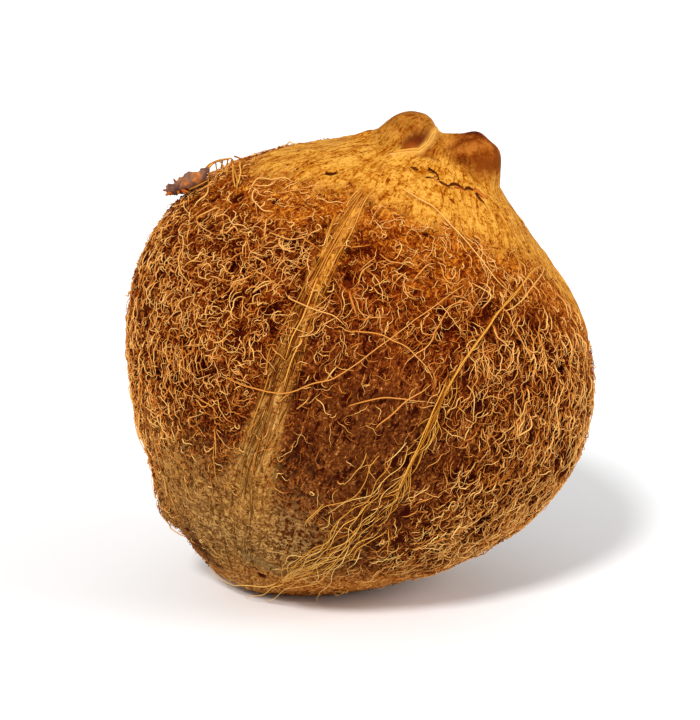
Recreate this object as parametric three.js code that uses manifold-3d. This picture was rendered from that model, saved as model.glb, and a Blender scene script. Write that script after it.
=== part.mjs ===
// A dehusked brown coconut: a three-cornered nut that leans to one side, two knobs of husk at its stem
// end, and coir strands rooted in its skin. It grew as one piece, so it is one solid.
// Millimetres, +Z up, front towards -Y. The origin is on the flat spot that the nut rests on, under its
// centre of mass.
//
// Places on the nut are directions from its centre. The skin's distance from the centre is a formula of
// the direction, so every strand can be rooted in it.

import * as THREE from "three";
import { mergeVertices } from "three/addons/utils/BufferGeometryUtils.js";
import Module from "manifold-3d";

const wasm = await Module();
wasm.setup();

// ---- Driving dimensions: millimetres, and angles in degrees --------------------------------------

const MEAN_RADIUS = 57.4;
const CENTRE_HEIGHT = 57.8;

// The stem end points up and to the right. The angles are read as in direction() below.
const NUT_AXIS = { around: 68, forward: 0 };

// A coconut has three corners, one along each seam of its shell.
const CORNERS = 3;
const CORNER_RISE = 1.4;
const FRONT_SEAM = -19;

// Soft swellings and hollows. A power of 2 gives a rounded hill, and 4 a steep-sided knob.
const LOBES = [
  { name: "left knob", around: 77, forward: 7, height: 6.4, width: 6.4, power: 4 },
  { name: "left knob's root", around: 87, forward: 3, height: 1.5, width: 5.5, power: 2 },
  { name: "right knob", around: 59.2, forward: 5, height: 6.6, width: 6.5, power: 4 },
  { name: "between the knobs", around: 67.5, forward: 3, height: 2.4, width: 2.6, power: 2 },
  { name: "stem end", around: 68, forward: 2, height: 2.6, width: 17, power: 2 },
  { name: "right flank", around: 34, forward: 0, height: -4.2, width: 18, power: 2 },
  { name: "left flank", around: 96, forward: -4, height: -2.6, width: 15, power: 2 },
  { name: "left shoulder", around: 143, forward: 8, height: 3.6, width: 24, power: 2 },
  { name: "right shoulder", around: 340, forward: 8, height: 2.9, width: 30, power: 2 },
  { name: "left side", around: 192, forward: 0, height: -1.2, width: 16, power: 2 },
  { name: "far end", around: 243, forward: 3, height: 6.8, width: 19, power: 2 },
  { name: "husk ledge", around: 218, forward: 8, height: 3.6, width: 8, power: 2 },
  { name: "notch below the ledge", around: 227, forward: 4, height: -2.2, width: 5, power: 2 },
  { name: "sole", around: 277, forward: 0, height: 0.6, width: 12, power: 2 },
  { name: "low right", around: 297, forward: 0, height: -1.8, width: 14, power: 2 },
];

// The skin is lumpy where fibres cover it, and smooth round the stem end.
const MAT_RELIEF = 0.65;
const MAT_WAVELENGTHS = [13, 10, 8];
const SMOOTH_CAP = 34;
const CAP_FADE = 12;

// The nut's mesh is finer towards the stem end, where the knobs are.
const MESH_DETAIL = 14;
const MESH_CROWDING = 0.25;

// Coir strands stand in arches with both ends sunk in the skin. A golden-angle spiral spreads them
// evenly, and they leave the stem end, the seams and the sole bare.
const COIR_STRANDS = 104;
const COIR_WIDTH = 0.9;
const COIR_SIDES = 3;
const COIR_STEPS = 4;
const COIR_LENGTH = { least: 10, most: 22 };
const COIR_ARCH = { least: 0.7, most: 1.5 };
const COIR_SWAY = { least: -4, most: 4 };
const COIR_TURN = { least: -55, most: 55 };
const ROOT_DEPTH = 1.2;
const BARE_SEAM = 8;
const BARE_SOLE = 30;
const SEED = 71;

// Strands placed one by one. A route's points lie so far right of the nut's centre and above it, on the
// front of a nut of the mean radius. A third number is how far the point stands off the skin.
const STRAND_LIFT = 0.35;
const STRAND_STEP = 4;
const PLACED_STRANDS = [
  {
    name: "bundle",
    width: 2.2,
    sides: 4,
    route: [[31, 21], [22, 12], [18, 3], [15, -3], [13, -11], [10, -19]],
  },
  { name: "bundle's tip", width: 1.2, sides: 3, route: [[49, 28], [40, 26], [34, 23], [24, 15]] },
  { name: "bundle's return", width: 0.9, sides: 3, route: [[48, 28], [46, 24], [40, 22], [34, 20]] },
  {
    name: "first root",
    width: 1,
    sides: 3,
    route: [[11, -17], [2, -31], [-8, -39], [-16, -48], [-23, -50, 2.4]],
  },
  {
    name: "second root",
    width: 1,
    sides: 3,
    route: [[15, -8], [6, -21], [-2, -32], [-8, -45], [-12, -53, 3]],
  },
  { name: "third root", width: 1, sides: 3, route: [[18, -14], [11, -24], [4, -34], [0, -44]] },
  { name: "fourth root", width: 1, sides: 3, route: [[10, -8], [2, -19], [-5, -29], [-17, -40]] },
  { name: "fifth root", width: 1, sides: 3, route: [[13, -12], [9, -25], [4, -36], [-5, -46]] },
  {
    name: "long arc",
    width: 1,
    sides: 3,
    route: [[-29, 7], [-22, 6], [-14, 6], [-2, 9], [7, 15], [17, 21], [28, 30]],
  },
  { name: "upper short", width: 0.9, sides: 3, route: [[-14, 27], [-8, 24], [-2, 21]] },
  { name: "level", width: 0.9, sides: 3, route: [[-1, 4], [11, 5], [20, 3]] },
  { name: "crossing", width: 0.9, sides: 3, route: [[2, 19], [11, 17], [17, 11], [24, 4]] },
  { name: "branch", width: 0.9, sides: 3, route: [[7, -2], [13, 3], [20, 6]] },
  { name: "thick short", width: 1.3, sides: 3, route: [[25, 23], [20, 16], [15, 10]] },
  { name: "shoulder", width: 0.9, sides: 3, route: [[10, 49], [20, 42], [27, 35], [33, 28], [40, 23]] },
  { name: "upper left arc", width: 0.9, sides: 3, route: [[-21, 45], [-15, 49], [-5, 49]] },
  { name: "lip between the knobs", width: 1.8, sides: 4, route: [[4, 52], [13, 52], [17, 53], [20, 54]] },
  {
    name: "husk scrap",
    width: 4.4,
    sides: 6,
    route: [[-41, 39, 2.6], [-38, 43, 2.4], [-33, 46, 1.2], [-28, 48]],
  },
  {
    name: "scrap's loop",
    width: 0.9,
    sides: 3,
    route: [[-39, 41, 2.6], [-33, 46, 4.4], [-28, 49, 3.6], [-25, 48]],
  },
];

// The crack where the husk of the right knob has shrunk away from the nut.
const CRACK = { width: 1.6, sides: 4, route: [[18, 51, 0], [22, 48, 0], [28, 46, 0], [32, 44, 0]] };

// ---- Places on the nut ---------------------------------------------------------------------------

const radians = THREE.MathUtils.degToRad;

// The direction that points "around" degrees from +X towards +Z, and "forward" degrees towards the front.
function direction({ around, forward }) {
  const level = Math.cos(radians(forward));
  return new THREE.Vector3(
    level * Math.cos(radians(around)),
    -Math.sin(radians(forward)),
    level * Math.sin(radians(around)),
  );
}

const UP = new THREE.Vector3(0, 0, 1);
const FRONT = new THREE.Vector3(0, -1, 0);
const CENTRE = new THREE.Vector3(0, 0, CENTRE_HEIGHT);
const STEM = direction(NUT_AXIS);
const SIDE = new THREE.Vector3().crossVectors(STEM, FRONT);
const LOBE_CENTRES = LOBES.map(direction);

// How far round the nut's axis a direction lies, in degrees from the front towards the right.
function longitude(way) {
  return THREE.MathUtils.radToDeg(Math.atan2(way.dot(SIDE), way.dot(FRONT)));
}

// How far a direction lies from the stem end, in degrees.
function polarAngle(way) {
  return THREE.MathUtils.radToDeg(way.angleTo(STEM));
}

function lobeHeight(way, index) {
  const { height, width, power } = LOBES[index];
  const away = way.distanceTo(LOBE_CENTRES[index]) / radians(width);
  return height * Math.exp(-(away ** power));
}

// Three-cornered where the nut is widest, and round at its two ends.
function cornerHeight(way) {
  const turn = radians(CORNERS * (longitude(way) - FRONT_SEAM));
  return CORNER_RISE * Math.cos(turn) * (1 - way.dot(STEM) ** 2);
}

function matHeight(way) {
  const circumference = 2 * Math.PI * MEAN_RADIUS;
  const [first, second, third] = MAT_WAVELENGTHS.map((wavelength) => circumference / wavelength);
  const lumps = Math.sin(first * way.x + 1) * Math.sin(first * way.z)
    + Math.sin(second * (way.y + way.z)) * Math.sin(second * (way.x - way.y) + 2)
    + Math.sin(third * (way.x + way.z)) * Math.sin(third * way.y);
  const cover = THREE.MathUtils.smoothstep(polarAngle(way), SMOOTH_CAP - CAP_FADE, SMOOTH_CAP + CAP_FADE);
  return MAT_RELIEF * lumps * cover;
}

function skinRadius(way) {
  const lobes = LOBES.reduce((sum, lobe, index) => sum + lobeHeight(way, index), 0);
  return MEAN_RADIUS + lobes + cornerHeight(way) + matHeight(way);
}

// A point of the skin or off it, and never lower than the floor.
function skinPoint(way, lift = 0, lowest = 0) {
  const point = way.clone().multiplyScalar(skinRadius(way) + lift).add(CENTRE);
  point.z = Math.max(point.z, lowest);
  return point;
}

function frontDirection(right, above) {
  const depth = Math.sqrt(Math.max(MEAN_RADIUS ** 2 - right ** 2 - above ** 2, 0));
  return new THREE.Vector3(right, -depth, above).normalize();
}

// ---- Solids --------------------------------------------------------------------------------------

function solidOf(geometry) {
  geometry.deleteAttribute("normal");
  geometry.deleteAttribute("uv");
  const merged = mergeVertices(geometry);
  return new wasm.Manifold(new wasm.Mesh({
    numProp: 3,
    vertProperties: merged.attributes.position.array,
    triVerts: new Uint32Array(merged.index.array),
  }));
}

function geometryOf(solid) {
  const mesh = solid.getMesh();
  const geometry = new THREE.BufferGeometry();
  geometry.setAttribute("position", new THREE.BufferAttribute(mesh.vertProperties, mesh.numProp));
  geometry.setIndex(new THREE.BufferAttribute(mesh.triVerts, 1));
  geometry.computeVertexNormals();
  return geometry;
}

function nutSolid() {
  const geometry = new THREE.IcosahedronGeometry(1, MESH_DETAIL);
  const position = geometry.attributes.position;
  const crowding = STEM.clone().multiplyScalar(MESH_CROWDING);
  for (let index = 0; index < position.count; index += 1) {
    const way = new THREE.Vector3().fromBufferAttribute(position, index).normalize();
    const point = skinPoint(way.add(crowding).normalize());
    position.setXYZ(index, point.x, point.y, point.z);
  }
  return solidOf(geometry);
}

// A strand of even width through points, with flat ends.
function strandSolid(points, width, sides, steps) {
  const section = new THREE.Shape(
    Array.from({ length: sides }, (unused, corner) => {
      const turn = (2 * Math.PI * corner) / sides;
      return new THREE.Vector2(Math.cos(turn), Math.sin(turn)).multiplyScalar(width / 2);
    }),
  );
  const extrudePath = new THREE.CatmullRomCurve3(points);
  return solidOf(new THREE.ExtrudeGeometry(section, { steps, extrudePath, bevelEnabled: false }));
}

function routedStrand({ width, sides, route }) {
  const points = route.map(([right, above, lift], index) => {
    const isEnd = index === 0 || index === route.length - 1;
    return skinPoint(frontDirection(right, above), lift ?? (isEnd ? -ROOT_DEPTH : STRAND_LIFT), width);
  });
  const length = new THREE.CatmullRomCurve3(points).getLength();
  return strandSolid(points, width, sides, Math.ceil(length / STRAND_STEP));
}

// ---- Coir, with every random draw seeded ---------------------------------------------------------

let randomState = SEED;

function random() {
  randomState = (randomState * 16807) % 2147483647;
  return randomState / 2147483647;
}

function between({ least, most }) {
  return least + (most - least) * random();
}

function isBare(way) {
  const seamTurn = 360 / CORNERS;
  const fromFrontSeam = THREE.MathUtils.euclideanModulo(longitude(way) - FRONT_SEAM, seamTurn);
  const fromSeam = Math.min(fromFrontSeam, seamTurn - fromFrontSeam);
  const fromSole = THREE.MathUtils.radToDeg(way.angleTo(UP.clone().negate()));
  return polarAngle(way) < SMOOTH_CAP || fromSeam < BARE_SEAM || fromSole < BARE_SOLE;
}

// An arch that starts at a direction and runs along the skin, away from the stem end and to one side.
function coirStrand(way) {
  const length = between(COIR_LENGTH);
  const arch = between(COIR_ARCH);
  const sway = between(COIR_SWAY);
  const along = way.clone().multiplyScalar(way.dot(STEM)).sub(STEM).normalize();
  along.applyAxisAngle(way, radians(between(COIR_TURN)));
  const across = new THREE.Vector3().crossVectors(way, along);
  const points = Array.from({ length: COIR_STEPS + 1 }, (unused, step) => {
    const part = step / COIR_STEPS;
    const rise = Math.sin(Math.PI * part);
    const place = way.clone().multiplyScalar(MEAN_RADIUS);
    place.addScaledVector(along, length * part);
    place.addScaledVector(across, sway * rise);
    return skinPoint(place.normalize(), (arch + ROOT_DEPTH) * rise - ROOT_DEPTH, COIR_WIDTH);
  });
  return strandSolid(points, COIR_WIDTH, COIR_SIDES, COIR_STEPS);
}

function coirStrands() {
  const goldenAngle = Math.PI * (3 - Math.sqrt(5));
  const strands = [];
  for (let index = 0; index < COIR_STRANDS; index += 1) {
    const height = 1 - (2 * index + 1) / COIR_STRANDS;
    const reach = Math.sqrt(1 - height ** 2);
    const turn = goldenAngle * index;
    const way = new THREE.Vector3(reach * Math.cos(turn), reach * Math.sin(turn), height);
    if (!isBare(way)) {
      strands.push(coirStrand(way));
    }
  }
  return strands;
}

// ---- The coconut ---------------------------------------------------------------------------------

const cracked = nutSolid().subtract(routedStrand(CRACK));
const coconutSolid = wasm.Manifold.union([cracked, ...PLACED_STRANDS.map(routedStrand), ...coirStrands()]);

const husk = new THREE.MeshStandardMaterial({ color: 0x8e5524, roughness: 0.9, metalness: 0 });
const coconut = new THREE.Mesh(geometryOf(coconutSolid), husk);
coconut.name = "coconut";

const part = new THREE.Group();
part.add(coconut);

export default part;
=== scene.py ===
"""The looks of a dehusked brown coconut: matted skin, coir fibres, husk knobs and a scrap of husk.

Places on the nut are directions from its centre, as unit vectors in rows of an array. The skin's distance
from the centre is a formula of the direction, so every fibre can be rooted in it. Lengths are written in
millimetres and turned into metres where a mesh is made. The front is towards -Y and the floor is at z = 0.
"""

import math

import bpy
import numpy as np
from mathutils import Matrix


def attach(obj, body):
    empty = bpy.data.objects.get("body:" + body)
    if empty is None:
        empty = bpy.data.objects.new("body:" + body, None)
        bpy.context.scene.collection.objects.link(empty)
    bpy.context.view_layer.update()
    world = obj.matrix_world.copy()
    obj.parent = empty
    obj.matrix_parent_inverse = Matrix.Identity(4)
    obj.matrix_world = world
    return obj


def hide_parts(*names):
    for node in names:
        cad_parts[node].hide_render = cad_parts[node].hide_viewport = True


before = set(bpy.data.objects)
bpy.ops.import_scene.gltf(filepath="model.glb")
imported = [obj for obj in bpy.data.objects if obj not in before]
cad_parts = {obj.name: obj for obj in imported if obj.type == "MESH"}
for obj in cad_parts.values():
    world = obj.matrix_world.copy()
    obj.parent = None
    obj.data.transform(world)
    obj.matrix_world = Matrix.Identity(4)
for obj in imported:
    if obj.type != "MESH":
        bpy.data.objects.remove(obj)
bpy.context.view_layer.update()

MM = 0.001
SEED = 71
NODE = "coconut"
BODY = "root"

# ---- The nut's form ----

MEAN_RADIUS = 57.4
CENTRE_HEIGHT = 57.8
NUT_AXIS = (68, 0)
CORNERS = 3
CORNER_RISE = 1.4
FRONT_SEAM = -19

# Soft swellings and hollows: degrees round from +X towards +Z, degrees forward, height in mm, width in
# degrees, and power. A power of 2 gives a rounded hill, and 4 a steep-sided knob.
LOBES = {
    "left knob": (77, 7, 6.4, 6.4, 4),
    "left knob's root": (87, 3, 1.5, 5.5, 2),
    "right knob": (59.2, 5, 6.6, 6.5, 4),
    "between the knobs": (67.5, 3, 2.4, 2.6, 2),
    "stem end": (68, 2, 2.6, 17, 2),
    "right flank": (34, 0, -4.2, 18, 2),
    "left flank": (96, -4, -2.6, 15, 2),
    "left shoulder": (143, 8, 3.6, 24, 2),
    "right shoulder": (340, 8, 2.9, 30, 2),
    "left side": (192, 0, -1.2, 16, 2),
    "far end": (243, 3, 6.8, 19, 2),
    "husk ledge": (218, 8, 3.6, 8, 2),
    "notch below the ledge": (227, 4, -2.2, 5, 2),
    "sole": (277, 0, 0.6, 12, 2),
    "low right": (297, 0, -1.8, 14, 2),
}
# Smaller ones, which belong to the detail of the skin.
BULGES = [
    (86, 5, 0.9, 2.6, 2),
    (81, 5, -0.5, 3, 2),
    (236, 4, 1.1, 5, 2),
    (229.5, 9, 1.3, 3.6, 2),
    (252, 12, -0.3, 7, 2),
    (284, 13, -0.9, 10, 2),
]


def direction(around, forward):
    """The direction that points around degrees from +X towards +Z, and forward degrees towards the front."""
    a, f = math.radians(around), math.radians(forward)
    return np.array([math.cos(f) * math.cos(a), -math.sin(f), math.cos(f) * math.sin(a)])


def unit(rows):
    return rows / np.linalg.norm(rows, axis=-1, keepdims=True)


def toward(x, y, z):
    """The direction of a place, seen from the nut's centre."""
    return unit(np.array([x, y, z], float))


def front(right, above):
    """The direction of a place on the front, so far right of the nut's centre and above it."""
    return toward(right, -math.sqrt(max(MEAN_RADIUS**2 - right**2 - above**2, 0)), above)


FRONT = np.array([0.0, -1.0, 0.0])
STEM = direction(*NUT_AXIS)
SIDE = np.cross(STEM, FRONT)


def smoothstep(value, low, high):
    part = np.clip((value - low) / (high - low), 0, 1)
    return part * part * (3 - 2 * part)


def wrapped(degrees):
    """The same angle, from -180 to 180."""
    return (degrees + 180) % 360 - 180


def longitude(ways):
    """Degrees round the nut's axis, from the front towards the right."""
    return np.degrees(np.arctan2(ways @ SIDE, ways @ FRONT))


def polar_angle(ways):
    """Degrees from the stem end."""
    return np.degrees(np.arccos(np.clip(ways @ STEM, -1, 1)))


def bell(away, width, power=2):
    """1 at no distance, and fading to 0 past the width."""
    return np.exp(-((away / width) ** power))


def spot(ways, centre, width, power=2):
    """A soft spot of height 1 round a direction. Its width is in degrees."""
    return bell(np.linalg.norm(ways - centre, axis=-1), math.radians(width), power)


def swellings(ways, lobes):
    """The height that lobes add, in mm."""
    return sum(
        height * spot(ways, direction(around, forward), width, power)
        for around, forward, height, width, power in lobes
    )


def form_radius(ways):
    """The nut's own form, without the detail of its skin."""
    turn = np.radians(CORNERS * (longitude(ways) - FRONT_SEAM))
    corners = CORNER_RISE * np.cos(turn) * (1 - (ways @ STEM) ** 2)
    return MEAN_RADIUS + swellings(ways, LOBES.values()) + corners


# ---- Noise ----


def hashed(cells, seed):
    """A number from 0 to 1 for each row of three whole numbers."""
    mixed = (cells * np.array([73856093, 19349663, 83492791])).sum(-1) + seed * 2654435761
    mixed = (mixed ^ (mixed >> 13)) * 1274126177 & 0xFFFFFFFF
    mixed = (mixed ^ (mixed >> 15)) * 2246822519 & 0xFFFFFFFF
    return (mixed ^ (mixed >> 13)) / 0xFFFFFFFF


def noise(points, cell, seed):
    """Smooth noise from -1 to 1, with bumps about one cell wide."""
    scaled = points / cell
    base = np.floor(scaled).astype(np.int64)
    part = smoothstep(scaled - base, 0, 1)
    total = np.zeros(points.shape[:-1])
    for corner in np.ndindex(2, 2, 2):
        step = np.array(corner)
        share = np.where(step == 1, part, 1 - part).prod(-1)
        total += share * hashed(base + step, SEED + seed)
    return 2 * total - 1


def grain_points(ways, stretch, reach=None):
    """Places for noise that runs along the nut's meridians, stretched so many times.

    The noise narrows towards both ends of the nut. With a fixed reach it spreads from them like rays.
    """
    if reach is None:
        reach = np.maximum(np.sqrt(np.clip(1 - (ways @ STEM) ** 2, 0, 1)), 0.25)[..., None]
    across = unit(ways - (ways @ STEM)[..., None] * STEM) * MEAN_RADIUS * reach
    along = np.radians(polar_angle(ways)) * MEAN_RADIUS / stretch
    return np.stack([across @ SIDE, across @ np.cross(SIDE, STEM), along], -1)


# ---- Zones of the skin: each is 0 to 1 ----

# Patches made of soft spots: height, centre, width in degrees and power.
PATCHES = {
    "dark": [
        (1, front(4, -6), 27, 3),
        (0.8, front(4, -27), 16, 3),
        (0.85, front(-11, -33), 14, 3),
        (0.7, toward(0.5, 0.85, 0.1), 34, 3),
    ],
    "red": [(1, front(14, 32), 20, 2), (0.7, front(-30, 32), 26, 2)],
    "knob": [(0.65, direction(77, 8), 8, 4), (1, direction(61.2, 6.8), 7.7, 5)],
    "khaki": [(1, front(-28.5, -36.5), 24, 3), (0.65, toward(-0.5, 0.8, -0.5), 30, 3)],
    "khaki fibres": [(0.2, front(26, -32), 36, 3)],
    "seam": [(0.85, front(-44, -26), 20, 4)],
    "combed": [(1, front(40, -10), 46, 3), (1, toward(-0.6, 0.75, -0.2), 42, 3)],
    "tangled": [
        (1, front(-34, 22), 38, 3),
        (1, front(-52, -4), 26, 3),
        (1, toward(0.25, 0.85, 0.35), 44, 3),
        (0.8, front(12, 32), 22, 3),
        (0.7, front(26, -34), 18, 3),
    ],
    "fanned": [(1, front(4, -26), 11, 3), (1, front(-9, -41), 9, 3), (0.6, front(14, -36), 10, 3)],
}

# The smooth husk's reach from the stem end, in degrees. In its tongues it reaches further: by how many
# degrees, at which longitude and how wide.
BARE_REACH = 35
BARE_TONGUES = [(14, -75, 50), (34, 101, 32), (4, 28, 26)]

# The width of each seam in mm, with the front seam first, and how far the front seam strays from its
# straight line: degrees from the stem end, and degrees round.
SEAM_WIDTHS = (2.4, 6, 6)
SEAM_COURSE = ((28, 46, 60, 75, 95), (-8.6, -4.2, -2.6, -0.5, 1.3))

# How much of the felt each zone takes away.
FELT_LOSS = {"bare": 1, "seam": 0.65, "dark": 0.72, "khaki": 0.75, "under": 0.9, "rim": 0.5}


def patch(ways, name):
    """A patch's mask: the strongest of its spots."""
    return np.max([height * spot(ways, *where) for height, *where in PATCHES[name]], axis=0)


def seam_distance(ways, turn):
    """How far a seam lies away, in mm along the skin. The front seam is turn 0."""
    astray = np.interp(polar_angle(ways), *SEAM_COURSE) if turn == 0 else 0
    off = wrapped(longitude(ways) - FRONT_SEAM - astray - 360 / CORNERS * turn)
    return np.abs(np.radians(off)) * MEAN_RADIUS * np.sin(np.radians(polar_angle(ways)))


def bare_edge(ways):
    """How far the smooth husk reaches from the stem end, in degrees."""
    turn = longitude(ways)
    return BARE_REACH + sum(far * bell(wrapped(turn - at), width) for far, at, width in BARE_TONGUES)


def zones(ways):
    """The masks that the skin's relief, its colour and the fibres share."""
    places = ways * MEAN_RADIUS
    ragged = 3.5 * noise(places, 9, 1) + 2.5 * noise(places, 3, 2)
    polar = polar_angle(ways)
    past_edge = polar + ragged - bare_edge(ways)
    bare = 1 - smoothstep(past_edge, -7, 5)
    seam = patch(ways, "seam")
    for turn, width in enumerate(SEAM_WIDTHS):
        wide = width * (0.4 + 0.6 * smoothstep(polar, 25, 60)) + 6 * smoothstep(polar, 85, 140) + 0.3 * ragged
        strip = 1 - smoothstep(seam_distance(ways, turn) + 0.42 * ragged, wide * 0.3, wide * 1.5)
        seam = np.maximum(seam, strip)
    khaki = patch(ways, "khaki") * smoothstep(polar + ragged, 82, 105)
    below = np.degrees(np.arccos(np.clip(-ways[:, 2], -1, 1)))
    under = (1 - smoothstep(below + ragged, 30, 44)) * (1 - bare)
    zone = {
        "bare": bare,
        "rim": (1 - bare) * (1 - smoothstep(past_edge, 3, 24)),
        "seam": seam * (1 - bare) * (1 - 0.8 * khaki),
        "khaki": khaki * (1 - 0.6 * under),
        "under": under,
        "olive": smoothstep(polar + ragged, 62, 100),
        **{name: patch(ways, name) for name in ("dark", "red", "knob")},
    }
    zone["felt"] = np.prod([1 - loss * zone[name] for name, loss in FELT_LOSS.items()], axis=0)
    return zone


# ---- The skin's relief ----

# Routes on the front: how far right of the nut's centre and above it, in mm.
LIP = [(9, 53.7), (11.7, 53.7), (14.2, 53.5), (15.7, 53.4), (17.2, 53.5), (19.7, 53.8)]
# Each crack has a width in mm and a route.
CRACKS = [
    (0.7, [(17.3, 51.1), (19, 50), (20.4, 48.7)]),
    (1.3, [(20.3, 48.6), (21.5, 48), (22.7, 47.3)]),
    (2.0, [(22.8, 47.7), (24.5, 47.5), (26.6, 46.4)]),
    (1.6, [(26.7, 46.6), (28.7, 46)]),
    (1.5, [(28.9, 45.5), (30, 44.6), (31.6, 43.5)]),
    (0.7, [(17.2, 49.6), (18.7, 49.4)]),
    (0.8, [(13.8, 51.6), (15.2, 51)]),
    (0.9, [(-6.7, 51), (-5, 51), (-3.4, 51.5)]),
]
# Orange flesh beside the cracks.
RAW = [
    (0.8, [(23.6, 46.9), (25.2, 46.5), (26.8, 45.8)]),
    (1.0, [(28.6, 46.2), (30.2, 45.1), (31.8, 44)]),
    (0.6, [(18.6, 49.2), (20, 48.2)]),
]
# Small marks, each over those before it: colour, strength, width in mm, raggedness in mm, and routes. The
# shade mark is painted shade below the husk ledge, and the dark colours of the hollow and fold marks are
# painted shade in their dents.
MARKS = {
    # Painted shade below the husk ledge.
    "shade": (0x4c3214, 0.8, 2.6, 1.2, [[(-39, -38), (-37, -41.5), (-33, -45)]]),
    "pale": (0x8e7442, 0.6, 2.6, 1.6, [[(-25, -41), (-21.5, -42.5), (-18, -44.5)]]),
    # Creases whose dark colour is painted shade; the first lies at the left of the right knob.
    "fold_shade": (0x783606, 0.8, 1.2, 0.6, [
        [(16, 53.2), (18, 52.5), (19, 52)],
        [(29.2, 48.1), (31.2, 47.2), (33.5, 46.3)],
    ]),
    # A dent beside the lip, whose dark colour is painted shade.
    "hollow_shade": (0x582006, 1, 1.1, 0.7, [[(12.6, 54.4), (14.8, 54.0), (17.1, 53.6)]]),
    "blush": (0x8e400e, 0.8, 0.8, 0.5, [[(12.7, 54.1), (14.3, 53.8)]]),
    "lip": (0xe2a44c, 1, 0.6, 0.2, [LIP]),
    "crack": (0x3c0a00, 0.7, 0.5, 0.3, [route for width, route in CRACKS]),
}
# Dark pits, holes in the mat whose near-black colour is painted shade: right, above and radius.
PITS = [
    (-32.5, 44, 1.3), (-27.5, 45, 1.8), (-18, 45.5, 1), (-8, 33.5, 0.9), (-14.5, 37.5, 1.3), (-11.5, 14, 0.8),
    (-2, 4.5, 0.8), (-7, 13, 0.7), (-11.5, 9.5, 0.7), (-9.5, 21.5, 1), (-7, -13, 0.7), (-3, -15, 0.8),
    (11, -33.5, 1.4), (-21.5, -47, 1.6), (34.5, 12.5, 0.8), (20.5, 22.5, 1.4), (17.5, 39, 0.9),
    (12.5, -26, 1.5), (7.5, -35.5, 0.9), (-40, -38, 1.0), (24, -17, 1.2), (-26, 18, 1.2), (-40, 14, 1),
]


def route_distance(ways, route):
    """How far each place lies from a route of places on the front, in mm."""
    places = ways * MEAN_RADIUS
    stops = [front(right, above) * MEAN_RADIUS for right, above in route]
    nearest = np.full(len(ways), np.inf)
    for start, end in zip(stops, stops[1:]):
        run = end - start
        part = np.clip((places - start) @ run / (run @ run), 0, 1)
        nearest = np.minimum(nearest, np.linalg.norm(places - start - part[:, None] * run, axis=1))
    return nearest


def near(ways, route, width, ragged):
    """1 on a route, and fading to 0 over its width in mm, with a ragged edge."""
    away = route_distance(ways, route) + ragged * noise(ways * MEAN_RADIUS, 1.6, 24)
    return bell(np.maximum(away, 0), width)


def pitted(ways):
    """1 in the middle of each dark pit, 0 away from them."""
    warp = np.stack([noise(ways * MEAN_RADIUS, 1.3, seed) for seed in (25, 26, 27)], -1)
    warped = unit(ways + 0.016 * warp)
    widths = [math.degrees(1.1 * radius / MEAN_RADIUS) for right, above, radius in PITS]
    return np.max([spot(warped, front(*pit[:2]), width) for pit, width in zip(PITS, widths)], axis=0)


def marks(ways):
    """The masks of small marks: each is 0 to 1."""
    mark = {
        name: strength * np.max([near(ways, route, width, ragged) for route in routes], axis=0)
        for name, (code, strength, width, ragged, routes) in MARKS.items()
    }
    # The pits take the cracks' dark colour as painted shade.
    mark["crack"] = np.maximum(mark["crack"], pitted(ways))
    return mark


def hollows(ways):
    """Small hollows in the mat: 1 at their bottoms and 0 away from them."""
    places = ways * MEAN_RADIUS
    return smoothstep(noise(places, 4.5, 14) + 0.5 * noise(places, 1.8, 15), 0.3, 0.75)


def skin_relief(ways, zone, mark):
    """Height of the skin's detail over the nut's form, in mm."""
    places = ways * MEAN_RADIUS
    bare, seam, khaki, under, felt = (zone[key] for key in ("bare", "seam", "khaki", "under", "felt"))
    clumps = 0.5 * noise(places, 6, 11) + 0.5 * noise(places, 2.8, 12) + 0.45 * noise(places, 1.6, 13)
    grain = noise(grain_points(ways, 9), 2.2, 16) + 0.7 * noise(grain_points(ways, 7), 1.3, 17)
    pores = smoothstep(noise(places, 1.6, 18), 0.0, 0.6) + 0.7 * smoothstep(noise(places, 3.2, 19), 0.2, 0.8)
    relief = felt * (0.6 * clumps - 1.2 * hollows(ways) - 0.4)
    relief += 0.3 * grain * (0.3 * bare + seam + under + 0.4 * khaki * (1 - bare))
    relief -= 0.55 * pores * khaki * (1 - bare)
    relief += (0.22 * noise(places, 5, 20) + 0.2 * noise(places, 2.2, 21)) * bare
    relief += 0.35 * noise(places, 3, 22) * zone["knob"]
    relief += swellings(ways, BULGES) - 0.35 * (1 - bare)
    relief += 0.6 * mark["lip"] - 0.8 * mark["hollow_shade"] - 0.6 * mark["fold_shade"] - 0.9 * mark["crack"]
    return relief


def place(ways, radius):
    """Points in the part's own frame, never lower than the floor."""
    points = ways * radius[..., None]
    points[..., 2] = np.maximum(points[..., 2] + CENTRE_HEIGHT, 0)
    return points


# ---- Meshes ----


def make_piece(name, points, faces, material, uvs, attributes=()):
    """A smooth mesh of points in mm and faces with equal numbers of corners, riding on the part."""
    mesh = bpy.data.meshes.new(name)
    mesh.vertices.add(len(points))
    mesh.vertices.foreach_set("co", (points * MM).astype(np.float32).ravel())
    mesh.loops.add(faces.size)
    mesh.loops.foreach_set("vertex_index", faces.astype(np.int32).ravel())
    mesh.polygons.add(len(faces))
    mesh.polygons.foreach_set("loop_start", np.arange(0, faces.size, faces.shape[1], dtype=np.int32))
    mesh.update(calc_edges=True)
    mesh.uv_layers.new(name="OFBake").data.foreach_set("uv", uvs.astype(np.float32).ravel())
    for key, values in dict(attributes).items():
        kind, field = ("FLOAT_VECTOR", "vector") if values.ndim == 2 else ("FLOAT", "value")
        mesh.attributes.new(key, kind, "POINT").data.foreach_set(field, values.astype(np.float32).ravel())
    mesh.shade_smooth()
    mesh.materials.append(material)
    mesh.validate()
    piece = bpy.data.objects.new(name, mesh)
    bpy.context.scene.collection.objects.link(piece)
    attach(piece, BODY)
    return piece


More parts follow.
